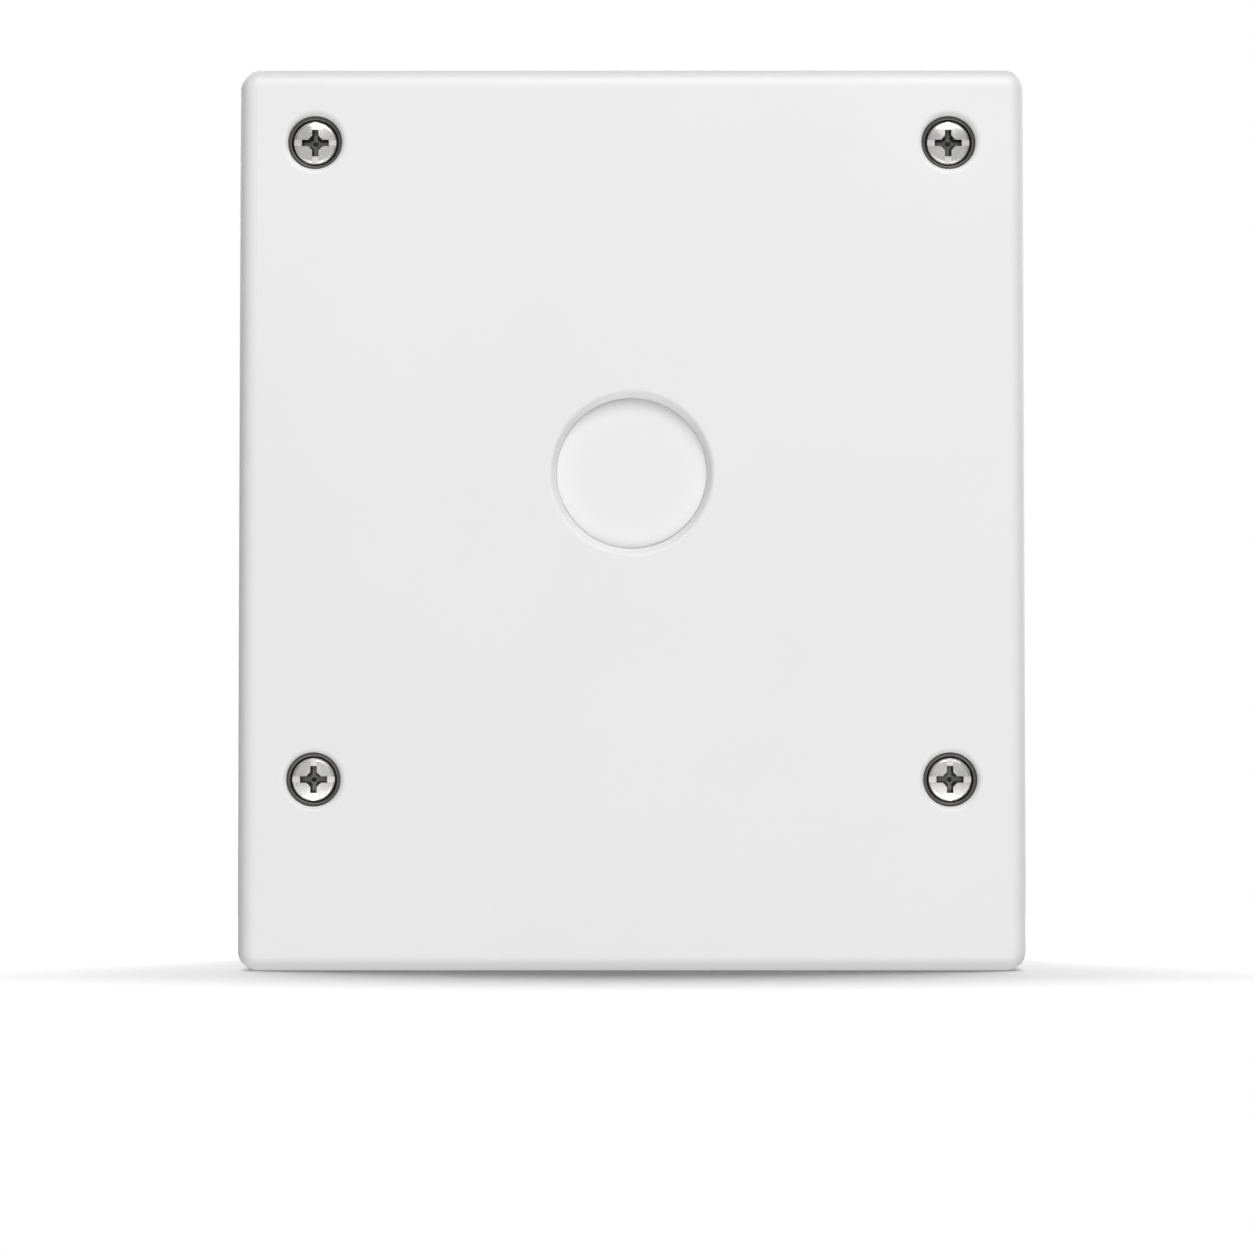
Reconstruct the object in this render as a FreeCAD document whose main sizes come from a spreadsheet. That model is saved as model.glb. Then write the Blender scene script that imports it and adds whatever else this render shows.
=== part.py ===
import FreeCAD, Part
import math
import os
import re
import Sketcher

# Manual call point with a recessed push button, built as one assembly.
# +Z is up and the front faces -Y.  The origin is the centre of the face that lies on the wall.
# A "depth" below is the distance in front of the wall, so depth d is at y = -d.

SIZES = (
    # case
    ("case_width", 122.0, "outside width"),
    ("case_height", 140.0, "outside height"),
    ("case_depth", 50.0, "front face to wall"),
    ("corner_round", 3.0, "plan corner radius"),
    ("front_round", 2.9, "radius round the front face"),
    ("rear_round", 0.8, "radius round the rear face"),
    ("box_depth", 36.0, "rim of the back box to wall"),
    ("seam_gap", 0.3, "gap between box rim and cover rim"),
    ("seam_chamfer", 0.4, "chamfer on both rims"),
    ("cover_skin", 3.0, "thickness of the front plate"),
    ("cover_wall", 2.5, "thickness of the cover walls"),
    ("box_wall", 3.0, "thickness of the box walls"),
    ("box_floor", 3.0, "thickness of the box floor"),
    ("inner_round", 1.0, "inner corner radius"),
    # seal in the rim
    ("groove_edge", 0.8, "outside of the case to the seal groove"),
    ("groove_width", 1.4, "seal groove width"),
    ("groove_floor", 34.5, "depth of the groove floor"),
    ("gasket_top", 35.7, "top of the seal"),
    ("tongue_edge", 1.0, "outside of the case to the tongue"),
    ("tongue_width", 1.0, "tongue width"),
    ("tongue_end", 35.75, "end of the tongue"),
    # cover screws
    ("well_across", 49.25, "screw to centre line"),
    ("well_upper", 58.5, "upper screws above centre"),
    ("well_lower", -40.5, "lower screws, height"),
    ("well_radius", 4.2, "screw well"),
    ("well_lip", 1.0, "rounding at the mouth of the well"),
    ("well_floor", 45.4, "depth of the well floor"),
    ("head_seat", 45.9, "underside of the screw heads"),
    ("ferrule_outside", 4.15, "metal cup round each head"),
    ("ferrule_inside", 3.6, "metal cup"),
    ("ferrule_bore", 2.05, "screw hole in the cup"),
    ("ferrule_rim", 48.4, "front of the cup"),
    ("ferrule_edge", 0.15, "rounding of its rim"),
    ("cup_radius", 6.2, "outside of the screw column"),
    ("cup_end", 36.1, "end of the screw column"),
    ("column_rib", 0.9, "half thickness of the column ribs"),
    ("shank_hole", 2.05, "clearance hole radius"),
    ("head_radius", 3.5, "pan head"),
    ("head_tall", 2.6, "pan head"),
    ("head_round", 0.6, "rounding of the pan head"),
    ("shank_radius", 1.75, "thread outside"),
    ("root_radius", 1.42, "thread root"),
    ("thread_pitch", 0.6, "thread pitch"),
    ("thread_start", 2.0, "plain part under any head"),
    ("thread_open", 0.42, "half width of a thread groove, in pitches"),
    ("tip_taper", 0.5, "taper of a screw tip"),
    ("tip_long", 0.8, "length of the taper"),
    ("shank_long", 20.0, "length under the head"),
    ("cross_span", 2.12, "half span of the cross recess"),
    ("cross_half", 0.5, "half width of an arm"),
    ("cross_deep", 1.9, "depth of the cross recess"),
    ("heart_reach", 3.3, "heart of the cross, in half widths"),
    ("point_wide", 2.2, "wide end of the point, in half widths"),
    ("mark_half", 0.45, "half width of a mark"),
    ("mark_deep", 0.12, "shallow mark from each arm to the edge"),
    # retaining washers and inserts
    ("washer_recess", 4.1, "recess radius for the washer"),
    ("washer_roof", 37.3, "recess roof"),
    ("washer_low", 36.25, "washer rear face"),
    ("washer_high", 37.2, "washer front face"),
    ("washer_radius", 3.9, "washer outside"),
    ("washer_bore", 1.8, "washer bore"),
    ("insert_radius", 2.6, "insert outside"),
    ("insert_waist", 2.3, "insert waist"),
    ("insert_bore", 1.8, "insert bore"),
    ("insert_low", 28.0, "rear end of the insert"),
    ("boss_radius", 5.0, "box boss"),
    ("boss_well", 24.0, "floor of the hole under the insert"),
    # button and its mouth
    ("button_height", 7.0, "button centre above the case centre"),
    ("button_radius", 11.67, "button skirt"),
    ("button_face", 48.0, "button face at rest"),
    ("button_edge", 0.12, "rounding of the button edge"),
    ("button_back", 46.0, "inside of the button face"),
    ("skirt_bore", 9.8, "inside of the skirt"),
    ("bore_radius", 11.70, "bore in the cover"),
    ("mouth_radius", 12.55, "wide end of the dished mouth"),
    ("mouth_round", 0.8, "rounding of the mouth"),
    ("collar_radius", 13.75, "outside of the guide collar"),
    ("collar_end", 43.0, "end of the guide collar"),
    ("flange_radius", 13.4, "button flange"),
    ("flange_front", 42.95, "flange stops on the collar"),
    ("flange_rear", 41.0, "flange rear face"),
    ("stem_radius", 2.6, "stem"),
    ("stem_tip", 33.85, "tip of the stem"),
    ("stem_round", 2.55, "rounding of the tip"),
    ("key_reach", 15.6, "end of the anti-turn key"),
    ("key_half", 1.5, "half width of the key"),
    # spring carrier
    ("carrier_half", 28.0, "half width of the plate"),
    ("carrier_rise", 24.0, "half height of the plate"),
    ("carrier_rear", 34.0, "plate rear face"),
    ("carrier_front", 36.0, "plate front face"),
    ("plate_round", 2.5, "corners of the plate"),
    ("rib_half", 0.75, "half thickness of the plate ribs"),
    ("post_across", 24.0, "cover pillars from centre line"),
    ("post_rise", 20.0, "pillars above and below the button"),
    ("post_radius", 3.6, "cover pillars"),
    ("pilot_radius", 1.25, "pilot holes"),
    ("pilot_deep", 9.0, "depth of the pilot holes"),
    ("carrier_clear", 1.7, "screw holes through the plate"),
    ("stop_outer", 13.2, "stop ring"),
    ("stop_inner", 10.2, "stop ring"),
    ("stop_top", 37.9, "stop ring"),
    ("seat_radius", 6.4, "spring locating boss"),
    ("seat_top", 37.2, "spring locating boss"),
    ("stem_hole", 3.2, "hole for the stem"),
    ("guide_inner", 14.3, "guide posts"),
    ("guide_outer", 17.0, "guide posts"),
    ("guide_gap", 1.7, "half gap between the guide posts"),
    ("guide_far", 3.7, "far side of the guide posts"),
    ("guide_top", 43.4, "guide posts"),
    ("leg_across", 14.0, "board legs from centre line"),
    ("leg_radius", 3.2, "board legs"),
    # small screws
    ("small_head", 2.8, "small pan head"),
    ("small_tall", 2.0, "small pan head"),
    ("small_round", 0.9, "small pan head"),
    ("small_shank", 1.22, "small thread outside"),
    ("small_root", 0.95, "small thread root"),
    ("small_pitch", 0.8, "small thread pitch"),
    ("small_long", 8.0, "length under the small head"),
    ("small_span", 1.45, "small cross recess"),
    ("small_half", 0.35, "small cross recess"),
    ("small_deep", 1.2, "small cross recess"),
    # spring
    ("coil_radius", 7.4, "spring mean radius"),
    ("wire_radius", 0.45, "spring wire"),
    ("coil_start", 36.5, "centre of the first coil"),
    ("coil_rise", 9.0, "rise of the coils"),
    ("coil_turns", 4.5, "turns"),
    # circuit board
    ("board_half", 20.0, "half width of the board"),
    ("board_rise", 24.5, "half height of the board"),
    ("board_rear", 17.6, "board rear face"),
    ("board_front", 19.2, "board front face"),
    ("board_round", 2.0, "board corners"),
    ("leg_clear", 1.6, "screw holes in the board"),
    ("strip_clear", 0.8, "holes for the switch pins"),
    ("pole_clear", 0.75, "holes for the terminal pins"),
    ("lead_clear", 0.45, "holes for the resistor leads"),
    # lever switch
    ("switch_left", -14.0, "left end of the switch"),
    ("switch_right", 6.0, "right end of the switch"),
    ("switch_half", 3.2, "half thickness of the switch"),
    ("switch_wall", 0.9, "wall of the switch base"),
    ("switch_floor", 20.4, "floor of the switch"),
    ("switch_split", 28.2, "joint between base and lid"),
    ("switch_top", 29.4, "top of the lid"),
    ("pivot_across", -12.0, "lever pivot"),
    ("pivot_depth", 29.9, "lever pivot"),
    ("pivot_radius", 0.5, "pivot pin"),
    ("curl_bore", 0.58, "lever curl"),
    ("curl_radius", 0.98, "lever curl"),
    ("lug_inner", 2.1, "inside of the pivot lugs"),
    ("lever_half", 1.8, "half width of the lever"),
    ("lever_thick", 0.2, "half thickness of the lever"),
    ("lever_reach", 14.0, "length of the lever"),
    ("lever_angle", 16.3, "lever angle at rest"),
    ("plunger_across", -8.5, "plunger"),
    ("plunger_radius", 0.9, "plunger"),
    ("plunger_hole", 1.0, "hole in the lid"),
    ("collar_flange", 1.3, "collar that keeps the plunger in"),
    ("plunger_top", 30.6, "plunger"),
    ("plunger_low", 25.8, "plunger"),
    ("blade_low", 25.475, "moving blade"),
    ("blade_high", 25.725, "moving blade"),
    ("blade_left", -12.4, "free end of the blade"),
    ("blade_pivot", 4.1, "pivot of the blade"),
    ("bead_radius", 0.22, "rolled bead at the blade pivot"),
    ("contact_half", 1.25, "half width of blade and contacts"),
    ("rivet_across", -11.5, "contact rivets"),
    ("rivet_radius", 0.85, "contact rivets"),
    ("pin_half", 0.6, "half width of the solder pins"),
    ("pin_end", 16.2, "end of the solder pins"),
    ("strip_thick", 0.4, "thickness of the contact strips"),
    ("open_low", 23.0, "normally open contact strip"),
    ("open_rivet", 23.88, "face of its rivet"),
    ("closed_low", 26.7, "normally closed contact strip"),
    ("closed_rivet", 26.25, "face of its rivet"),
    ("blade_rise", 0.475, "rivet and guides beyond the blade"),
    ("blade_play", 0.175, "blade to its guides"),
    ("open_strip", -9.9, "leg of the normally open contact"),
    ("closed_strip", -13.05, "leg of the normally closed contact"),
    ("common_strip", 4.4, "leg of the common contact"),
    # terminals
    ("pole_first", -7.62, "first pole"),
    ("pole_step", 5.08, "pole spacing"),
    ("block_half", 10.4, "half width of the terminal block"),
    ("block_low", -14.0, "lower side of the block"),
    ("block_high", -4.0, "upper side of the block"),
    ("block_rear", 7.6, "rear of the block"),
    ("cage_height", -9.6, "centre of the cages"),
    ("cage_half", 1.7, "half width of a cage"),
    ("cage_reach", 3.4, "half length of a cage"),
    ("cage_rear", 12.7, "cage"),
    ("cage_front", 16.5, "cage"),
    ("clamp_radius", 1.9, "clamp screw head"),
    ("clamp_shank", 1.2, "clamp screw shank"),
    ("clamp_rear", 8.4, "clamp screw"),
    ("clamp_tall", 2.0, "clamp screw head"),
    ("clamp_end", 14.4, "clamp screw tip"),
    ("slot_half", 0.3, "clamp screw slot"),
    ("slot_deep", 0.9, "clamp screw slot"),
    ("cage_wall", 0.7, "rear and front walls of a cage"),
    ("cage_side", 0.4, "side walls of a cage"),
    ("block_play", 0.1, "cage to the block"),
    # resistors
    ("alarm_height", 15.0, "alarm resistor"),
    ("line_height", 20.0, "line resistor"),
    ("resistor_depth", 20.9, "resistor axis"),
    ("resistor_radius", 1.25, "resistor"),
    ("resistor_half", 3.2, "half length of the body"),
    ("resistor_end", 0.75, "radius of the flat end"),
    ("cap_round", 0.5, "end of the body to the full radius"),
    ("cap_long", 1.3, "end of the body to the waist"),
    ("cap_slope", 1.7, "end of the body to the full waist"),
    ("waist_step", 0.2, "depth of the waist"),
    ("lead_radius", 0.3, "lead"),
    ("lead_bend", 0.9, "bend radius of the lead"),
    ("lead_across", 6.35, "half pitch of the leads"),
    # back box details
    ("fixing_across", 40.0, "wall holes from centre line"),
    ("fixing_rise", 50.0, "wall holes above and below centre"),
    ("fixing_radius", 2.5, "wall holes"),
    ("pad_radius", 6.0, "pads round the wall holes"),
    ("entry_height", -36.0, "cable entry"),
    ("entry_radius", 9.0, "hole in the box floor"),
    ("grommet_flange", 11.5, "grommet flanges"),
    ("grommet_bore", 4.5, "grommet bore"),
    ("knockout_depth", 18.0, "knockout centre to wall"),
    ("knockout_radius", 10.2, "knockout"),
    ("knockout_groove", 0.6, "width of the knockout groove"),
    ("knockout_deep", 1.6, "depth of the knockout groove"),
)

doc = FreeCAD.newDocument("call_point")
sheet = doc.addObject("Spreadsheet::Sheet", "sizes")
for row, (word, number, note) in enumerate(SIZES, 1):
    sheet.set("A%d" % row, note)
    sheet.set("B%d" % row, repr(number))
    sheet.setAlias("B%d" % row, word)
doc.recompute()

WORDS = {word for word, number, note in SIZES}
WORD = re.compile(r"[a-z][a-z_]*")
UP = FreeCAD.Vector(0, 0, 1)
RECESS_TAPER = 9.0
PARTS = []


def bound(text):
    """The expression with every size word pointing at its cell."""
    return WORD.sub(lambda hit: "sizes." + hit.group(0) if hit.group(0) in WORDS else hit.group(0), str(text))


def value(text):
    return float(sheet.evalExpression(bound(text)))


def new_body(name):
    body = doc.addObject("PartDesign::Body", name)
    body.Label = name
    body.AllowCompound = True
    doc.recompute()
    return body


def keep(item, name):
    item.Label = name
    PARTS.append((name, item))
    return item


def drawing_on(body, name, plane, level):
    """An empty sketch parallel to one of the body's own planes."""
    drawing = body.newObject("Sketcher::SketchObject", name)
    base = [item for item in body.Origin.OriginFeatures if item.Role == plane][0]
    drawing.AttachmentSupport = (base, [""])
    drawing.MapMode = "FlatFace"
    drawing.setExpression("AttachmentOffset.Base.z", bound(level))
    return drawing


def pin_point(drawing, item, point, across, up):
    for kind, text in (("DistanceX", across), ("DistanceY", up)):
        number = drawing.addConstraint(Sketcher.Constraint(kind, -1, 1, item, point, value(text)))
        drawing.setExpression("Constraints[%d]" % number, bound(text))


def draw_circle(drawing, across, up, radius):
    centre = FreeCAD.Vector(value(across), value(up), 0)
    item = drawing.addGeometry(Part.Circle(centre, UP, value(radius)), False)
    pin_point(drawing, item, 3, across, up)
    number = drawing.addConstraint(Sketcher.Constraint("Radius", item, value(radius)))
    drawing.setExpression("Constraints[%d]" % number, bound(radius))


def draw_polygon(drawing, corners):
    first = drawing.GeometryCount
    points = [FreeCAD.Vector(value(across), value(up), 0) for across, up in corners]
    for here, there in zip(points, points[1:] + points[:1]):
        drawing.addGeometry(Part.LineSegment(here, there), False)
    for index, (across, up) in enumerate(corners):
        following = first + (index + 1) % len(corners)
        drawing.addConstraint(Sketcher.Constraint("Coincident", first + index, 2, following, 1))
        pin_point(drawing, first + index, 1, across, up)


def draw_rectangle(drawing, left, right, low, high):
    draw_polygon(drawing, ((left, low), (right, low), (right, high), (left, high)))


def draw_rounded(drawing, left, right, low, high, radius):
    """A rectangle with four tangent corner arcs."""
    near = "(%s)+(%s)"
    far = "(%s)-(%s)"
    runs = (
        ((near % (left, radius), low), (far % (right, radius), low)),
        ((right, near % (low, radius)), (right, far % (high, radius))),
        ((far % (right, radius), high), (near % (left, radius), high)),
        ((left, far % (high, radius)), (left, near % (low, radius))),
    )
    centres = (
        (far % (right, radius), near % (low, radius)),
        (far % (right, radius), far % (high, radius)),
        (near % (left, radius), far % (high, radius)),
        (near % (left, radius), near % (low, radius)),
    )
    lines = []
    for start, end in runs:
        here = FreeCAD.Vector(value(start[0]), value(start[1]), 0)
        there = FreeCAD.Vector(value(end[0]), value(end[1]), 0)
        line = drawing.addGeometry(Part.LineSegment(here, there), False)
        pin_point(drawing, line, 1, start[0], start[1])
        pin_point(drawing, line, 2, end[0], end[1])
        lines.append(line)
    for index, (across, up) in enumerate(centres):
        centre = FreeCAD.Vector(value(across), value(up), 0)
        full = Part.Circle(centre, UP, value(radius))
        begin = (index - 1) * math.pi / 2
        arc = drawing.addGeometry(Part.ArcOfCircle(full, begin, begin + math.pi / 2), False)
        drawing.addConstraint(Sketcher.Constraint("Coincident", lines[index], 2, arc, 1))
        drawing.addConstraint(Sketcher.Constraint("Coincident", lines[(index + 1) % 4], 1, arc, 2))
        number = drawing.addConstraint(Sketcher.Constraint("Radius", arc, value(radius)))
        drawing.setExpression("Constraints[%d]" % number, bound(radius))


DRAW = {
    "circle": draw_circle,
    "rectangle": draw_rectangle,
    "rounded": draw_rounded,
    "polygon": lambda drawing, *corners: draw_polygon(drawing, corners),
}


def sketch(body, name, plane, level, shapes):
    drawing = drawing_on(body, name, plane, level)
    for kind, *sizes in shapes:
        DRAW[kind](drawing, *sizes)
    return drawing


def finish_feature(body, feature, grows):
    """Recompute, and make sure the feature added or removed material as meant."""
    before = body.Tip.Shape.Volume if body.Tip and body.Tip != feature else 0.0
    if feature.BaseFeature:
        before = feature.BaseFeature.Shape.Volume
    doc.recompute()
    if not feature.Shape.isValid() or feature.Shape.isNull():
        raise RuntimeError("bad shape: " + feature.Name)
    change = feature.Shape.Volume - before
    if (change > 0) != grows or abs(change) < 1e-6:
        raise RuntimeError("%s changed the volume by %.4f" % (feature.Name, change))
    return feature


def add(body, name, low, high, shapes, plane="XZ_Plane"):
    """Material between two levels above the plane."""
    drawing = sketch(body, name + "_sketch", plane, low, shapes)
    feature = body.newObject("PartDesign::Pad", name)
    feature.Profile = drawing
    feature.setExpression("Length", bound("(%s)-(%s)" % (high, low)))
    return finish_feature(body, feature, True)


def cut(body, name, low, high, shapes, plane="XZ_Plane", taper=0.0):
    """Removes what lies between two levels above the plane, narrowing by the taper angle."""
    drawing = sketch(body, name + "_sketch", plane, high, shapes)
    feature = body.newObject("PartDesign::Pocket", name)
    feature.Profile = drawing
    feature.TaperAngle = -taper
    feature.setExpression("Length", bound("(%s)-(%s)" % (high, low)))
    return finish_feature(body, feature, False)


def turn(body, name, corners, level="0", axis="V_Axis", removes=False):
    """A turned shape round an axis of its sketch; corners are (radius, -depth) pairs."""
    drawing = sketch(body, name + "_sketch", "XY_Plane", level, (("polygon",) + tuple(corners),))
    kind = "PartDesign::Groove" if removes else "PartDesign::Revolution"
    feature = body.newObject(kind, name)
    feature.Profile = drawing
    feature.ReferenceAxis = (drawing, [axis])
    feature.Angle = 360.0
    return finish_feature(body, feature, not removes)


def soften(body, name, radius, wanted, kind="PartDesign::Fillet"):
    """Rounds or chamfers the edges picked by a test on each edge."""
    base = body.Tip
    names = ["Edge%d" % (index + 1) for index, edge in enumerate(base.Shape.Edges) if wanted(edge)]
    if not names:
        raise RuntimeError("no edge for " + name)
    feature = body.newObject(kind, name)
    feature.Base = (base, names)
    feature.setExpression("Radius" if kind.endswith("Fillet") else "Size", bound(radius))
    doc.recompute()
    if not feature.Shape.isValid():
        raise RuntimeError("bad rounding: " + name)
    return feature


def at_depth(edge, depth):
    box = edge.BoundBox
    here = -value(depth)
    return abs(box.YMin - here) < 1e-4 and abs(box.YMax - here) < 1e-4


def round_edge(edge, depth, radius):
    """True for a full circle of this radius at this depth."""
    if not at_depth(edge, depth) or not hasattr(edge.Curve, "Radius"):
        return False
    return abs(edge.Curve.Radius - value(radius)) < 1e-4


def placed(source, name, across, depth, up, turn_about=None):
    """A linked copy of a master piece, put in place by bound expressions."""
    copy = doc.addObject("App::Link", name)
    copy.LinkedObject = source
    copy.setExpression("Placement.Base.x", bound(across))
    copy.setExpression("Placement.Base.y", bound("-(%s)" % depth))
    copy.setExpression("Placement.Base.z", bound(up))
    if turn_about:
        copy.Placement.Rotation = FreeCAD.Rotation(turn_about, 180)
    return copy


def group(name, copies):
    """Separate identical pieces that share one node."""
    together = doc.addObject("Part::Compound", name)
    together.Links = copies
    doc.recompute()
    return keep(together, name)


WELLS = [(side + "well_across", up) for side in ("-", "") for up in ("well_upper", "well_lower")]
RISES = ("button_height+post_rise", "button_height-post_rise")
POSTS = [(side + "post_across", up) for side in ("-", "") for up in RISES]
LEGS = [(side + "leg_across", up) for side in ("-", "") for up in RISES]
POLES = ["pole_first+%d*pole_step" % index for index in range(4)]
FIXINGS = [(side + "fixing_across", rise + "fixing_rise") for side in ("-", "") for rise in ("-", "")]


def circles(places, radius):
    return [("circle", across, up, radius) for across, up in places]


def case_outline(inset, radius):
    half_wide = "case_width/2-(%s)" % inset
    half_tall = "case_height/2-(%s)" % inset
    return ("rounded", "-(%s)" % half_wide, half_wide, "-(%s)" % half_tall, half_tall, radius)


# ---------------------------------------------------------------- front cover
cover = keep(new_body("front_cover"), "front_cover")
add(cover, "cover_block", "box_depth+seam_gap", "case_depth", [case_outline("0", "corner_round")])
soften(cover, "cover_front_round", "front_round", lambda edge: at_depth(edge, "case_depth"))
soften(cover, "cover_seam", "seam_chamfer", lambda edge: at_depth(edge, "box_depth+seam_gap"),
       "PartDesign::Chamfer")
cut(cover, "cover_hollow", "box_depth+seam_gap", "case_depth-cover_skin",
    [case_outline("cover_wall", "inner_round")])
add(cover, "cover_tongue", "tongue_end", "box_depth+seam_gap+0.2",
    [case_outline("tongue_edge", "corner_round-tongue_edge"),
     case_outline("tongue_edge+tongue_width", "inner_round")])
inside = "case_depth-cover_skin+0.5"
add(cover, "screw_columns", "cup_end", inside, circles(WELLS, "cup_radius"))
add(cover, "guide_collar", "collar_end", inside, [("circle", "0", "button_height", "collar_radius")])
add(cover, "carrier_pillars", "carrier_front", inside, circles(POSTS, "post_radius"))
for side in ("-", ""):
    for up in ("well_upper", "well_lower"):
        ends = sorted((side + "well_across", side + "(case_width/2-1)"), key=value)
        add(cover, "column_rib_%s_%s" % ("left" if side else "right", up), "box_depth+4", inside,
            [("rectangle", ends[0], ends[1], up + "-column_rib", up + "+column_rib")])
    add(cover, "column_web_%s" % ("left" if side else "right"), "box_depth+4", inside,
        [("rectangle", side + "well_across-column_rib", side + "well_across+column_rib",
          "well_upper", "case_height/2-1")])
    add(cover, "plate_rib_%s" % ("left" if side else "right"), "case_depth-cover_skin-3", inside,
        [("rectangle", side + "post_across-rib_half", side + "post_across+rib_half",
          "button_height-post_rise", "button_height+post_rise")])
for up in ("+post_rise", "-post_rise"):
    add(cover, "plate_rib_%s" % ("upper" if "+" in up else "lower"), "case_depth-cover_skin-3", inside,
        [("rectangle", "-post_across", "post_across", "button_height" + up + "-rib_half",
          "button_height" + up + "+rib_half")])
cut(cover, "screw_wells", "well_floor", "case_depth", circles(WELLS, "well_radius"))
cut(cover, "shank_holes", "cup_end", "well_floor", circles(WELLS, "shank_hole"))
cut(cover, "washer_recesses", "cup_end", "washer_roof", circles(WELLS, "washer_recess"))
cut(cover, "pillar_pilots", "carrier_front", "carrier_front+pilot_deep", circles(POSTS, "pilot_radius"))
cut(cover, "button_bore", "collar_end", "case_depth", [("circle", "0", "button_height", "bore_radius")])
turn(cover, "button_mouth",
     (("bore_radius-1", "-button_face"), ("bore_radius", "-button_face"),
      ("mouth_radius", "-case_depth"), ("bore_radius-1", "-case_depth")),
     level="button_height", removes=True)
soften(cover, "mouth_rounding", "mouth_round", lambda edge: round_edge(edge, "case_depth", "mouth_radius"))
soften(cover, "well_rounding", "well_lip", lambda edge: round_edge(edge, "case_depth", "well_radius"))

# ---------------------------------------------------------------- push button
button = keep(new_body("push_button"), "push_button")
turn(button, "button_turned",
     (("0", "-button_face"), ("button_radius", "-button_face"), ("button_radius", "-flange_front"),
      ("flange_radius", "-flange_front"), ("flange_radius", "-flange_rear"), ("skirt_bore", "-flange_rear"),
      ("skirt_bore", "-button_back"), ("stem_radius", "-button_back"), ("stem_radius", "-stem_tip"),
      ("0", "-stem_tip")), level="button_height")
soften(button, "face_rounding", "button_edge", lambda edge: round_edge(edge, "button_face", "button_radius"))
soften(button, "tip_rounding", "stem_round", lambda edge: round_edge(edge, "stem_tip", "stem_radius"))
for side, name in (("-", "left"), ("", "right")):
    ends = sorted((side + "(flange_radius-1.5)", side + "key_reach"), key=value)
    add(button, "turn_key_" + name, "flange_rear", "flange_front",
        [("rectangle", ends[0], ends[1], "button_height-key_half", "button_height+key_half")])

# ---------------------------------------------------------------- return spring
spring = keep(new_body("return_spring"), "return_spring")
wire = sketch(spring, "wire_section", "XY_Plane", "button_height",
              [("circle", "coil_radius", "-coil_start", "wire_radius")])
coil = spring.newObject("PartDesign::AdditiveHelix", "spring_coil")
coil.Profile = wire
coil.ReferenceAxis = (wire, ["V_Axis"])
coil.Mode = 1
coil.setExpression("Turns", bound("coil_turns"))
coil.setExpression("Height", bound("coil_rise"))
coil.setExpression("Pitch", bound("coil_rise/coil_turns"))
coil.Reversed = True
doc.recompute()

# ---------------------------------------------------------------- spring carrier
carrier = keep(new_body("spring_carrier"), "spring_carrier")
add(carrier, "carrier_plate", "carrier_rear", "carrier_front",
    [("rounded", "-carrier_half", "carrier_half", "button_height-carrier_rise",
      "button_height+carrier_rise", "plate_round")])
add(carrier, "stop_ring", "carrier_front-0.5", "stop_top",
    [("circle", "0", "button_height", "stop_outer"), ("circle", "0", "button_height", "stop_inner")])
add(carrier, "spring_seat", "carrier_front-0.5", "seat_top",
    [("circle", "0", "button_height", "seat_radius")])
for side, name in (("-", "left"), ("", "right")):
    ends = sorted((side + "guide_inner", side + "guide_outer"), key=value)
    add(carrier, "guide_posts_" + name, "carrier_front-0.5", "guide_top",
        [("rectangle", ends[0], ends[1], "button_height+guide_gap", "button_height+guide_far"),
         ("rectangle", ends[0], ends[1], "button_height-guide_far", "button_height-guide_gap")])
add(carrier, "board_legs", "board_front", "carrier_rear+0.5", circles(LEGS, "leg_radius"))
for up in ("+post_rise", "-post_rise"):
    add(carrier, "leg_rib_%s" % ("upper" if "+" in up else "lower"), "carrier_rear-6", "carrier_rear+0.5",
        [("rectangle", "-leg_across", "leg_across", "button_height" + up + "-rib_half",
          "button_height" + up + "+rib_half")])
cut(carrier, "stem_passage", "carrier_rear", "seat_top", [("circle", "0", "button_height", "stem_hole")])
cut(carrier, "carrier_holes", "carrier_rear", "carrier_front", circles(POSTS, "carrier_clear"))
cut(carrier, "leg_pilots", "board_front", "board_front+pilot_deep", circles(LEGS, "pilot_radius"))


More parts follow.
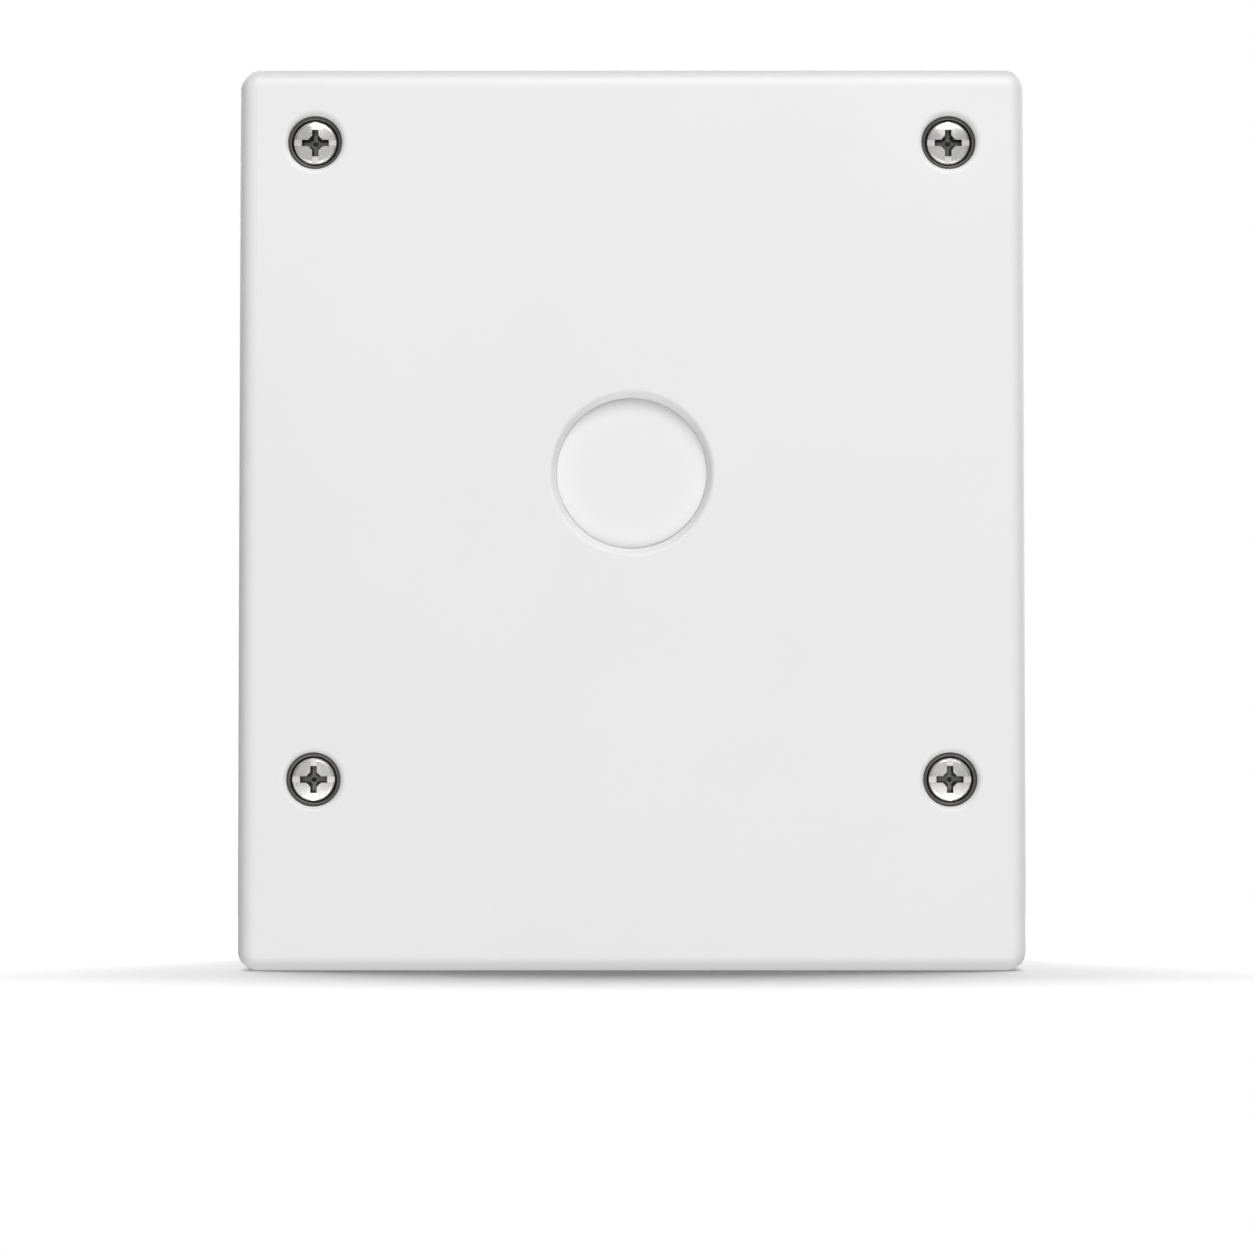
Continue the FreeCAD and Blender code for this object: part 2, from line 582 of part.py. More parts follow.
# ---------------------------------------------------------------- screws
def pan_screw(name, head, tall, rounding, shank, root, pitch, long, span, half, deep):
    """A pan head screw along +Y: the underside of the head is at y = 0, the shank runs to +Y."""
    body = new_body(name)
    corners = [("0", "-(%s)" % tall), (head, "-(%s)" % tall), (head, "0"), (shank, "0")]
    turns = int(value("%s-thread_start-1.5*tip_long" % long) / value(pitch))
    for index in range(turns):
        start = "thread_start+%d*(%s)" % (index, pitch)
        corners.append((shank, "%s-thread_open*(%s)" % (start, pitch)))
        corners.append((root, start))
        corners.append((shank, "%s+thread_open*(%s)" % (start, pitch)))
    corners.append((shank, "(%s)-tip_long" % long))
    corners.append(("(%s)-tip_taper" % shank, long))
    corners.append(("0", long))
    turn(body, name + "_turned", corners)
    soften(body, name + "_dome", rounding,
           lambda edge: at_depth(edge, tall) and abs(edge.Curve.Radius - value(head)) < 1e-4)
    low = "(%s)-0.8*(%s)" % (tall, deep)
    cut(body, name + "_cross_wide", low, tall,
        [("rectangle", "-(%s)" % span, span, "-(%s)" % half, half)], taper=RECESS_TAPER)
    cut(body, name + "_cross_tall", low, tall,
        [("rectangle", "-(%s)" % half, half, "-(%s)" % span, span)], taper=RECESS_TAPER)
    cut(body, name + "_cross_heart", low, tall,
        [("polygon", ("-heart_reach*(%s)" % half, "0"), ("0", "-heart_reach*(%s)" % half),
          ("heart_reach*(%s)" % half, "0"), ("0", "heart_reach*(%s)" % half))], taper=2 * RECESS_TAPER)
    turn(body, name + "_cross_point",
         (("0", "-(%s)-0.1" % tall), ("point_wide*(%s)" % half, "-(%s)-0.1" % tall),
          (half, "-(%s)+0.75*(%s)" % (tall, deep)), ("0", "-(%s)+(%s)" % (tall, deep))),
         removes=True)
    return body


case_screw = pan_screw("case_screw", "head_radius", "head_tall", "head_round", "shank_radius", "root_radius",
                       "thread_pitch", "shank_long", "cross_span", "cross_half", "cross_deep")
cut(case_screw, "head_marks", "head_tall-mark_deep", "head_tall",
    [("rectangle", "-head_radius", "head_radius", "-mark_half", "mark_half")])
cut(case_screw, "head_marks_tall", "head_tall-mark_deep", "head_tall",
    [("rectangle", "-mark_half", "mark_half", "-head_radius", "head_radius")])
group("cover_screws", [placed(case_screw, "cover_screw_%d" % index, across, "head_seat", up)
                       for index, (across, up) in enumerate(WELLS)])
small_screw = pan_screw("small_screw", "small_head", "small_tall", "small_round", "small_shank", "small_root",
                        "small_pitch", "small_long", "small_span", "small_half", "small_deep")
turned_over = FreeCAD.Vector(1, 0, 0)
group("carrier_screws",
      [placed(small_screw, "carrier_screw_%d" % index, across, "carrier_rear", up, turned_over)
       for index, (across, up) in enumerate(POSTS)])
group("board_screws",
      [placed(small_screw, "board_screw_%d" % index, across, "board_rear", up, turned_over)
       for index, (across, up) in enumerate(LEGS)])

# ---------------------------------------------------------------- cups, washers, inserts, seal
ferrule = new_body("ferrule")
turn(ferrule, "ferrule_turned",
     (("ferrule_bore", "-well_floor"), ("ferrule_outside", "-well_floor"),
      ("ferrule_outside", "-ferrule_rim"), ("ferrule_inside", "-ferrule_rim"),
      ("ferrule_inside", "-head_seat"), ("ferrule_bore", "-head_seat")))
soften(ferrule, "ferrule_round", "ferrule_edge", lambda edge: at_depth(edge, "ferrule_rim"))
group("screw_cups", [placed(ferrule, "screw_cup_%d" % index, across, "0", up)
                     for index, (across, up) in enumerate(WELLS)])
washer = new_body("washer")
add(washer, "washer_ring", "washer_low", "washer_high",
    [("circle", "0", "0", "washer_radius"), ("circle", "0", "0", "washer_bore")])
group("screw_retainers", [placed(washer, "retainer_%d" % index, across, "0", up)
                          for index, (across, up) in enumerate(WELLS)])
insert = new_body("insert")
turn(insert, "insert_turned",
     (("insert_bore", "-insert_low"), ("insert_radius", "-insert_low"), ("insert_radius", "-insert_low-2.6"),
      ("insert_waist", "-insert_low-3.2"), ("insert_waist", "-insert_low-4.8"),
      ("insert_radius", "-insert_low-5.4"), ("insert_radius", "-box_depth"), ("insert_bore", "-box_depth")))
group("threaded_inserts", [placed(insert, "insert_%d" % index, across, "0", up)
                           for index, (across, up) in enumerate(WELLS)])
seal = keep(new_body("cover_gasket"), "cover_gasket")
add(seal, "seal_ring", "groove_floor", "gasket_top",
    [case_outline("groove_edge+0.05", "corner_round-groove_edge"),
     case_outline("groove_edge+groove_width-0.05", "inner_round")])

# ---------------------------------------------------------------- back box
box = keep(new_body("back_box"), "back_box")
add(box, "box_block", "0", "box_depth", [case_outline("0", "corner_round")])
soften(box, "box_rear_round", "rear_round", lambda edge: at_depth(edge, "0"))
soften(box, "box_seam", "seam_chamfer", lambda edge: at_depth(edge, "box_depth"), "PartDesign::Chamfer")
cut(box, "box_hollow", "box_floor", "box_depth", [case_outline("box_wall", "inner_round")])
add(box, "insert_bosses", "box_floor-0.5", "box_depth", circles(WELLS, "boss_radius"))
for side in ("-", ""):
    for up in ("well_upper", "well_lower"):
        ends = sorted((side + "well_across", side + "(case_width/2-1)"), key=value)
        add(box, "boss_rib_%s_%s" % ("left" if side else "right", up), "box_floor-0.5", "box_depth-1.5",
            [("rectangle", ends[0], ends[1], up + "-1", up + "+1")])
    add(box, "boss_web_%s" % ("left" if side else "right"), "box_floor-0.5", "box_depth-1.5",
        [("rectangle", side + "well_across-1", side + "well_across+1", "well_upper", "case_height/2-1")])
add(box, "fixing_pads", "box_floor-0.5", "box_floor+1.5", circles(FIXINGS, "pad_radius"))
add(box, "entry_ring", "box_floor-0.5", "box_floor+1", [("circle", "0", "entry_height", "entry_radius+5.5")])
cut(box, "entry_pocket", "box_floor", "box_floor+1", [("circle", "0", "entry_height", "grommet_flange+0.6")])
cut(box, "seal_groove", "groove_floor", "box_depth",
    [case_outline("groove_edge", "corner_round-groove_edge"),
     case_outline("groove_edge+groove_width", "inner_round")])
cut(box, "insert_holes", "insert_low", "box_depth", circles(WELLS, "insert_radius"))
cut(box, "insert_reliefs", "boss_well", "insert_low", circles(WELLS, "shank_hole"))
cut(box, "fixing_holes", "0", "box_floor+1.5", circles(FIXINGS, "fixing_radius"))
cut(box, "entry_hole", "0", "box_floor", [("circle", "0", "entry_height", "entry_radius")])
cut(box, "entry_recess", "0", "1", [("circle", "0", "entry_height", "grommet_flange+0.3")])
ring = [("circle", "0", "-knockout_depth", "knockout_radius"),
        ("circle", "0", "-knockout_depth", "knockout_radius-knockout_groove")]
cut(box, "upper_knockout", "case_height/2-knockout_deep", "case_height/2", ring, plane="XY_Plane")
cut(box, "lower_knockout", "-case_height/2", "-case_height/2+knockout_deep", ring, plane="XY_Plane")

grommet = keep(new_body("cable_grommet"), "cable_grommet")
turn(grommet, "grommet_turned",
     (("grommet_bore", "-0.2"), ("grommet_flange", "-0.2"), ("grommet_flange", "-1"), ("entry_radius", "-1"),
      ("entry_radius", "-box_floor"), ("grommet_flange", "-box_floor"),
      ("grommet_flange-0.8", "-box_floor-1.4"), ("grommet_bore+1.2", "-box_floor-2.4"),
      ("grommet_bore", "-box_floor-2.4")), level="entry_height")

# ---------------------------------------------------------------- circuit board
board = keep(new_body("circuit_board"), "circuit_board")
add(board, "board_sheet", "board_rear", "board_front",
    [("rounded", "-board_half", "board_half", "button_height-board_rise", "button_height+board_rise",
      "board_round")])
pins = [("open_strip+strip_thick/2", "button_height"), ("closed_strip+strip_thick/2", "button_height"),
        ("common_strip+strip_thick/2", "button_height")]
leads = [(side + "lead_across", up) for side in ("-", "") for up in ("alarm_height", "line_height")]
cut(board, "board_holes", "board_rear", "board_front",
    circles(LEGS, "leg_clear") + circles(pins, "strip_clear")
    + circles([(pole, "cage_height") for pole in POLES], "pole_clear") + circles(leads, "lead_clear"))

# ---------------------------------------------------------------- lever switch
middle = "button_height"
base = keep(new_body("switch_base"), "switch_base")
add(base, "base_block", "board_front", "switch_split",
    [("rectangle", "switch_left", "switch_right", middle + "-switch_half", middle + "+switch_half")])
cut(base, "base_hollow", "switch_floor", "switch_split",
    [("rectangle", "switch_left+switch_wall", "switch_right-switch_wall",
      middle + "-switch_half+switch_wall", middle + "+switch_half-switch_wall")])
cut(base, "pin_slots", "board_front", "switch_floor",
    [("rectangle", strip + "-0.03", strip + "+strip_thick+0.03", middle + "-pin_half-0.03",
      middle + "+pin_half+0.03") for strip in ("open_strip", "closed_strip", "common_strip")])
lid = keep(new_body("switch_lid"), "switch_lid")
add(lid, "lid_sheet", "switch_split", "switch_top",
    [("rectangle", "switch_left", "switch_right", middle + "-switch_half", middle + "+switch_half")])
add(lid, "pivot_lugs", "switch_top-0.2", "pivot_depth+0.9",
    [("rectangle", "pivot_across-1.2", "pivot_across+1.2", middle + "+lug_inner", middle + "+switch_half"),
     ("rectangle", "pivot_across-1.2", "pivot_across+1.2", middle + "-switch_half", middle + "-lug_inner")])
cut(lid, "curl_relief", "switch_top-0.8", "switch_top",
    [("rectangle", "pivot_across-1.3", "pivot_across+1.3", middle + "-lug_inner", middle + "+lug_inner")])
cut(lid, "plunger_passage", "switch_split", "switch_top",
    [("circle", "plunger_across", middle, "plunger_hole")])
cut(lid, "pin_passage", middle + "-switch_half", middle + "+switch_half",
    [("circle", "pivot_across", "-pivot_depth", "pivot_radius")], plane="XY_Plane")
pivot = keep(new_body("switch_pivot_pin"), "switch_pivot_pin")
add(pivot, "pivot_rod", middle + "-switch_half", middle + "+switch_half",
    [("circle", "pivot_across", "-pivot_depth", "pivot_radius")], plane="XY_Plane")


def along_lever(reach, offset):
    """A point of the lever: along it from the pivot, and off its middle plane."""
    across = "pivot_across+(%s)*cos(lever_angle)-(%s)*sin(lever_angle)" % (reach, offset)
    depth = "-pivot_depth-(%s)*sin(lever_angle)-(%s)*cos(lever_angle)" % (reach, offset)
    return across, depth


lever = keep(new_body("switch_lever"), "switch_lever")
add(lever, "lever_strip", middle + "-lever_half", middle + "+lever_half",
    [("polygon", along_lever("curl_bore+0.1", "-lever_thick"), along_lever("lever_reach", "-lever_thick"),
      along_lever("lever_reach", "lever_thick"), along_lever("curl_bore+0.1", "lever_thick"))],
    plane="XY_Plane")
add(lever, "lever_curl", middle + "-lever_half", middle + "+lever_half",
    [("circle", "pivot_across", "-pivot_depth", "curl_radius")], plane="XY_Plane")
cut(lever, "lever_bore", middle + "-lever_half", middle + "+lever_half",
    [("circle", "pivot_across", "-pivot_depth", "curl_bore")], plane="XY_Plane")
plunger = keep(new_body("switch_plunger"), "switch_plunger")
add(plunger, "plunger_rod", "plunger_low", "plunger_top",
    [("circle", "plunger_across", middle, "plunger_radius")])
soften(plunger, "plunger_dome", "plunger_radius-0.06",
       lambda edge: round_edge(edge, "plunger_top", "plunger_radius"))
add(plunger, "plunger_collar", "switch_split-1", "switch_split-0.3",
    [("circle", "plunger_across", middle, "collar_flange")])


def strip(body, name, left, right, low, high, half="contact_half"):
    add(body, name, low, high, [("rectangle", left, right, middle + "-" + half, middle + "+" + half)])


blade = keep(new_body("switch_blade"), "switch_blade")
strip(blade, "blade_strip", "blade_left", "blade_pivot", "blade_low", "blade_high")
add(blade, "blade_bead", middle + "-contact_half", middle + "+contact_half",
    [("circle", "blade_pivot", "-(blade_low+blade_high)/2", "bead_radius")], plane="XY_Plane")
add(blade, "blade_rivet", "blade_low-blade_rise", "blade_high+blade_rise",
    [("circle", "rivet_across", middle, "rivet_radius")])
common = keep(new_body("common_terminal"), "common_terminal")
strip(common, "common_leg", "common_strip", "common_strip+strip_thick", "switch_floor",
      "blade_high+blade_rise")
strip(common, "common_pin", "common_strip", "common_strip+strip_thick", "pin_end", "switch_floor", "pin_half")
strip(common, "common_ledge", "common_strip-0.8", "common_strip", "blade_low-blade_rise",
      "blade_low-blade_play")
strip(common, "common_catch", "common_strip-0.5", "common_strip", "blade_high+blade_play",
      "blade_high+blade_rise")
opened = keep(new_body("open_terminal"), "open_terminal")
strip(opened, "open_plate", "open_strip-2.4", "open_strip+strip_thick", "open_low",
      "open_low+strip_thick")
strip(opened, "open_leg", "open_strip", "open_strip+strip_thick", "switch_floor", "open_low")
strip(opened, "open_pin", "open_strip", "open_strip+strip_thick", "pin_end", "switch_floor", "pin_half")
add(opened, "open_contact", "open_low+strip_thick", "open_rivet",
    [("circle", "rivet_across", middle, "rivet_radius")])
closed = keep(new_body("closed_terminal"), "closed_terminal")
strip(closed, "closed_plate", "closed_strip", "closed_strip+2.85", "closed_low",
      "closed_low+strip_thick")
strip(closed, "closed_leg", "closed_strip", "closed_strip+strip_thick", "switch_floor", "closed_low")
strip(closed, "closed_pin", "closed_strip", "closed_strip+strip_thick", "pin_end", "switch_floor", "pin_half")
add(closed, "closed_contact", "closed_rivet", "closed_low",
    [("circle", "rivet_across", middle, "rivet_radius")])

# ---------------------------------------------------------------- terminals
block = keep(new_body("terminal_block"), "terminal_block")
add(block, "block_body", "block_rear", "board_rear",
    [("rectangle", "-block_half", "block_half", "block_low", "block_high")])
cut(block, "wire_mouths", "block_low", "cage_height+cage_reach+block_play",
    [("rectangle", pole + "-cage_half-block_play", pole + "+cage_half+block_play",
      "-cage_front-block_play", "-cage_rear+block_play")
     for pole in POLES], plane="XY_Plane")
cut(block, "screw_mouths", "block_rear", "cage_rear",
    circles([(pole, "cage_height") for pole in POLES], "clamp_radius+0.15"))
cut(block, "pin_holes", "cage_front", "board_rear",
    circles([(pole, "cage_height") for pole in POLES], "pole_clear"))
cage = new_body("cage")
add(cage, "cage_block", "cage_rear", "cage_front",
    [("rectangle", "-cage_half", "cage_half", "-cage_reach", "cage_reach")])
cut(cage, "cage_window", "-cage_reach", "cage_reach",
    [("rectangle", "-cage_half+cage_side", "cage_half-cage_side", "-cage_front+cage_wall",
      "-cage_rear-cage_wall")], plane="XY_Plane")
cut(cage, "cage_thread", "cage_rear", "cage_rear+cage_wall", [("circle", "0", "0", "clamp_shank+0.05")])
group("terminal_cages", [placed(cage, "cage_%d" % index, pole, "0", "cage_height")
                         for index, pole in enumerate(POLES)])
clamp = new_body("clamp")
turn(clamp, "clamp_turned",
     (("0", "-clamp_rear"), ("clamp_radius-0.2", "-clamp_rear"), ("clamp_radius", "-clamp_rear-0.2"),
      ("clamp_radius", "-clamp_rear-clamp_tall"), ("clamp_shank", "-clamp_rear-clamp_tall"),
      ("clamp_shank", "-clamp_end+0.4"), ("clamp_shank-0.4", "-clamp_end"), ("0", "-clamp_end")))
cut(clamp, "clamp_slot", "clamp_rear", "clamp_rear+slot_deep",
    [("rectangle", "-clamp_radius-0.1", "clamp_radius+0.1", "-slot_half", "slot_half")])
group("terminal_screws", [placed(clamp, "clamp_%d" % index, pole, "0", "cage_height")
                          for index, pole in enumerate(POLES)])
solder_pin = new_body("solder_pin")
add(solder_pin, "solder_pin_bar", "cage_front", "board_front+1.2",
    [("rectangle", "-0.5", "0.5", "-0.4", "0.4")])
group("terminal_pins", [placed(solder_pin, "terminal_pin_%d" % index, pole, "0", "cage_height")
                        for index, pole in enumerate(POLES)])


# ---------------------------------------------------------------- resistors
def resistor(name, height):
    body = keep(new_body(name), name)
    turn(body, name + "_turned",
         (("-resistor_half", "0"), ("-resistor_half", "resistor_end"),
          ("-resistor_half+cap_round", "resistor_radius"), ("-resistor_half+cap_long", "resistor_radius"),
          ("-resistor_half+cap_slope", "resistor_radius-waist_step"),
          ("resistor_half-cap_slope", "resistor_radius-waist_step"),
          ("resistor_half-cap_long", "resistor_radius"), ("resistor_half-cap_round", "resistor_radius"),
          ("resistor_half", "resistor_end"), ("resistor_half", "0")),
         axis="H_Axis")
    body.setExpression("Placement.Base.y", bound("-resistor_depth"))
    body.setExpression("Placement.Base.z", bound(height))


resistor("alarm_resistor", "alarm_height")
resistor("line_resistor", "line_height")
lead = new_body("lead")
path = drawing_on(lead, "lead_path", "XY_Plane", "0")
straight_end = value("lead_across-lead_bend")
bend = value("lead_bend")
foot = value("resistor_depth-pin_end-0.6")
path.addGeometry(Part.LineSegment(FreeCAD.Vector(value("resistor_half"), 0, 0),
                                  FreeCAD.Vector(straight_end, 0, 0)), False)
bend_circle = Part.Circle(FreeCAD.Vector(straight_end, bend, 0), UP, bend)
path.addGeometry(Part.ArcOfCircle(bend_circle, -math.pi / 2, 0), False)
path.addGeometry(Part.LineSegment(FreeCAD.Vector(straight_end + bend, bend, 0),
                                  FreeCAD.Vector(straight_end + bend, foot, 0)), False)
path.addConstraint(Sketcher.Constraint("Tangent", 0, 2, 1, 1))
path.addConstraint(Sketcher.Constraint("Tangent", 1, 2, 2, 1))
pin_point(path, 0, 1, "resistor_half", "0")
pin_point(path, 0, 2, "lead_across-lead_bend", "0")
pin_point(path, 2, 2, "lead_across", "resistor_depth-pin_end-0.6")
section = sketch(lead, "lead_section", "YZ_Plane", "resistor_half", [("circle", "0", "0", "lead_radius")])
doc.recompute()
wire_pipe = lead.newObject("PartDesign::AdditivePipe", "lead_pipe")
wire_pipe.Profile = section
wire_pipe.Spine = (path, ["Edge1", "Edge2", "Edge3"])
doc.recompute()
group("resistor_leads",
      [placed(lead, "lead_right_%d" % index, "0", "resistor_depth", up)
       for index, up in enumerate(("alarm_height", "line_height"))]
      + [placed(lead, "lead_left_%d" % index, "0", "resistor_depth", up, FreeCAD.Vector(0, 1, 0))
         for index, up in enumerate(("alarm_height", "line_height"))])

# ---------------------------------------------------------------- checks and files
doc.recompute()
os.makedirs("parts", exist_ok=True)
for item in doc.Objects:
    if "Invalid" in item.State or "Error" in item.State:
        raise RuntimeError("not computed: " + item.Label)
for name, item in PARTS:
    if item.Shape.isNull() or not item.Shape.isValid():
        raise RuntimeError("bad shape: " + name)
    item.Shape.exportStep("parts/%s.step" % name)
    box_now = item.Shape.BoundBox
    print("%-18s solids %d volume %9.2f  x %.2f..%.2f  y %.2f..%.2f  z %.2f..%.2f" % (
        name, len(item.Shape.Solids), item.Shape.Volume, box_now.XMin, box_now.XMax,
        box_now.YMin, box_now.YMax, box_now.ZMin, box_now.ZMax))
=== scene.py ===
"""Manual call point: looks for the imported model.  Metres, +Z up, the front faces -Y."""
import math

import bmesh
import bpy
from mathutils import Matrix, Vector


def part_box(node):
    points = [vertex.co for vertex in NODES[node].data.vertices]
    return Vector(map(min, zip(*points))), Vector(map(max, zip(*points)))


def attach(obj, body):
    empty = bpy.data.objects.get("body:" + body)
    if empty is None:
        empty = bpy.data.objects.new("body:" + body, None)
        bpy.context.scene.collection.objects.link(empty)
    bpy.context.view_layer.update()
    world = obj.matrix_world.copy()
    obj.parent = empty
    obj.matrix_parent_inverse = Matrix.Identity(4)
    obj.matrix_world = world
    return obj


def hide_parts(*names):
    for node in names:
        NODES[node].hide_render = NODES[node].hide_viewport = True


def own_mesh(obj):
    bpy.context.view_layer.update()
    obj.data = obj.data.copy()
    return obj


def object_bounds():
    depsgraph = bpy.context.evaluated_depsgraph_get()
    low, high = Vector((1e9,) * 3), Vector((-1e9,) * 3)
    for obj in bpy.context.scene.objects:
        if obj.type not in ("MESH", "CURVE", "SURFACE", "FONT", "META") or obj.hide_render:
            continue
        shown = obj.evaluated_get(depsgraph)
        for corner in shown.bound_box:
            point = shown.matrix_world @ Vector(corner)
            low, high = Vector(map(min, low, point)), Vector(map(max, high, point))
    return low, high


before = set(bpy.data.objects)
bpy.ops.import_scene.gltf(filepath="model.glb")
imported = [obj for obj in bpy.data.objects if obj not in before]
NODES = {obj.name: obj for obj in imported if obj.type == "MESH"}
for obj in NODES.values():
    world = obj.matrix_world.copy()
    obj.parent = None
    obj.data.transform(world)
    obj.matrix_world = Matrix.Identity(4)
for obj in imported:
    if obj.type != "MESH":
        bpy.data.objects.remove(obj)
cad_low, cad_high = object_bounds()
MM = 0.001
FULL_TURN = 2.0 * math.pi
MIX_FIRST, MIX_SECOND, MIX_RESULT = 6, 7, 2     # the colour sockets of a Mix node


# ------------------------------------------------------------------ node helpers
class Material:
    """A Principled material with short calls for the nodes that the finishes share."""

    def __init__(self, name, colour, roughness, metallic=0.0, **sockets):
        self.data = bpy.data.materials.new(name)
        self.data.use_nodes = True
        self.tree = self.data.node_tree
        self.shader = self.tree.nodes["Principled BSDF"]
        self.colour = (*colour, 1.0)
        self.shader.inputs["Base Color"].default_value = self.colour
        self.shader.inputs["Roughness"].default_value = roughness
        self.shader.inputs["Metallic"].default_value = metallic
        for socket, number in sockets.items():
            self.shader.inputs[socket.replace("_", " ")].default_value = number
        self.place = self.add("ShaderNodeTexCoord").outputs["Object"]

    def add(self, kind, **values):
        node = self.tree.nodes.new(kind)
        for key, number in values.items():
            setattr(node, key, number)
        return node

    def join(self, source, target):
        self.tree.links.new(source, target)

    def stretched(self, across, deep, up):
        """Object coordinates scaled by axis, for grain that runs one way."""
        scaling = self.add("ShaderNodeMapping")
        scaling.inputs["Scale"].default_value = (across, deep, up)
        self.join(self.place, scaling.inputs["Vector"])
        return scaling.outputs["Vector"]

    def noise(self, size, detail=3.0, roughness=0.5, place=None):
        """Noise whose features are about size metres across."""
        node = self.add("ShaderNodeTexNoise")
        node.inputs["Scale"].default_value = 1.0 / size
        node.inputs["Detail"].default_value = detail
        node.inputs["Roughness"].default_value = roughness
        self.join(place or self.place, node.inputs["Vector"])
        return node.outputs["Fac"]

    def sum_of(self, first, second, share=0.5):
        """first plus that share of second."""
        node = self.add("ShaderNodeMath", operation="MULTIPLY_ADD")
        node.inputs[1].default_value = share
        self.join(second, node.inputs[0])
        self.join(first, node.inputs[2])
        return node.outputs["Value"]

    def spread(self, factor, low, high):
        """Takes 0 to 1 onto low to high."""
        node = self.add("ShaderNodeMapRange")
        node.inputs["To Min"].default_value = low
        node.inputs["To Max"].default_value = high
        self.join(factor, node.inputs["Value"])
        return node.outputs["Result"]

    def ramped(self, source, start, end):
        """0 before start and 1 after end."""
        node = self.add("ShaderNodeMapRange")
        node.inputs["From Min"].default_value = start
        node.inputs["From Max"].default_value = end
        self.join(source, node.inputs["Value"])
        return node.outputs["Result"]

    def product(self, first, second):
        node = self.add("ShaderNodeMath", operation="MULTIPLY")
        self.join(first, node.inputs[0])
        self.join(second, node.inputs[1])
        return node.outputs["Value"]

    def shaded(self, share):
        """The plain colour, that many times as bright."""
        return [*(min(1.0, channel * share) for channel in self.colour[:3]), 1.0]

    def blend_to(self, factor, share):
        """Base colour goes to that share of the plain colour where factor is 1."""
        node = self.add("ShaderNodeMix", data_type="RGBA")
        node.inputs[MIX_SECOND].default_value = self.shaded(share)
        self.join(factor, node.inputs["Factor"])
        self.join(self.shader.inputs["Base Color"].links[0].from_socket, node.inputs[MIX_FIRST])
        self.join(node.outputs[MIX_RESULT], self.shader.inputs["Base Color"])

    def tint(self, factor, low, high):
        """Base colour wandering between two brightnesses of the same colour."""
        node = self.add("ShaderNodeMix", data_type="RGBA")
        for socket, share in ((MIX_FIRST, low), (MIX_SECOND, high)):
            node.inputs[socket].default_value = self.shaded(share)
        self.join(factor, node.inputs["Factor"])
        self.join(node.outputs[MIX_RESULT], self.shader.inputs["Base Color"])

    def sheen_of(self, factor, low, high):
        self.join(self.spread(factor, low, high), self.shader.inputs["Roughness"])

    def relief(self, height, depth):
        """Bumps that are depth metres deep where height goes from 0 to 1."""
        node = self.add("ShaderNodeBump")
        node.inputs["Strength"].default_value = 1.0
        node.inputs["Distance"].default_value = depth
        self.join(height, node.inputs["Height"])
        self.join(node.outputs["Normal"], self.shader.inputs["Normal"])


# ------------------------------------------------------------------ finishes
GLOW_REACH = 0.8 * MM       # how far light wanders inside the white plastics


def moulded(name, colour, roughness, grain=0.32 * MM, depth=0.010 * MM, tinting=0.012, specular=0.45,
            glow=0.0):
    """Injection moulded plastic with a spark-eroded grain; glow is how much light wanders inside it."""
    made = Material(name, colour, roughness, Specular_IOR_Level=specular)
    fine = made.noise(grain, 4.0, 0.6)
    coarse = made.noise(grain * 5.0, 2.0)
    made.relief(made.sum_of(fine, coarse, 0.35), depth)
    broad = made.noise(28.0 * MM, 3.0)
    made.tint(broad, 1.0 - tinting, 1.0 + tinting)
    made.sheen_of(made.sum_of(broad, fine, 0.4), roughness - 0.05, roughness + 0.07)
    if glow:
        made.shader.inputs["Subsurface Weight"].default_value = glow
        made.shader.inputs["Subsurface Radius"].default_value = (1.0, 1.0, 1.0)
        made.shader.inputs["Subsurface Scale"].default_value = GLOW_REACH
    return made.data


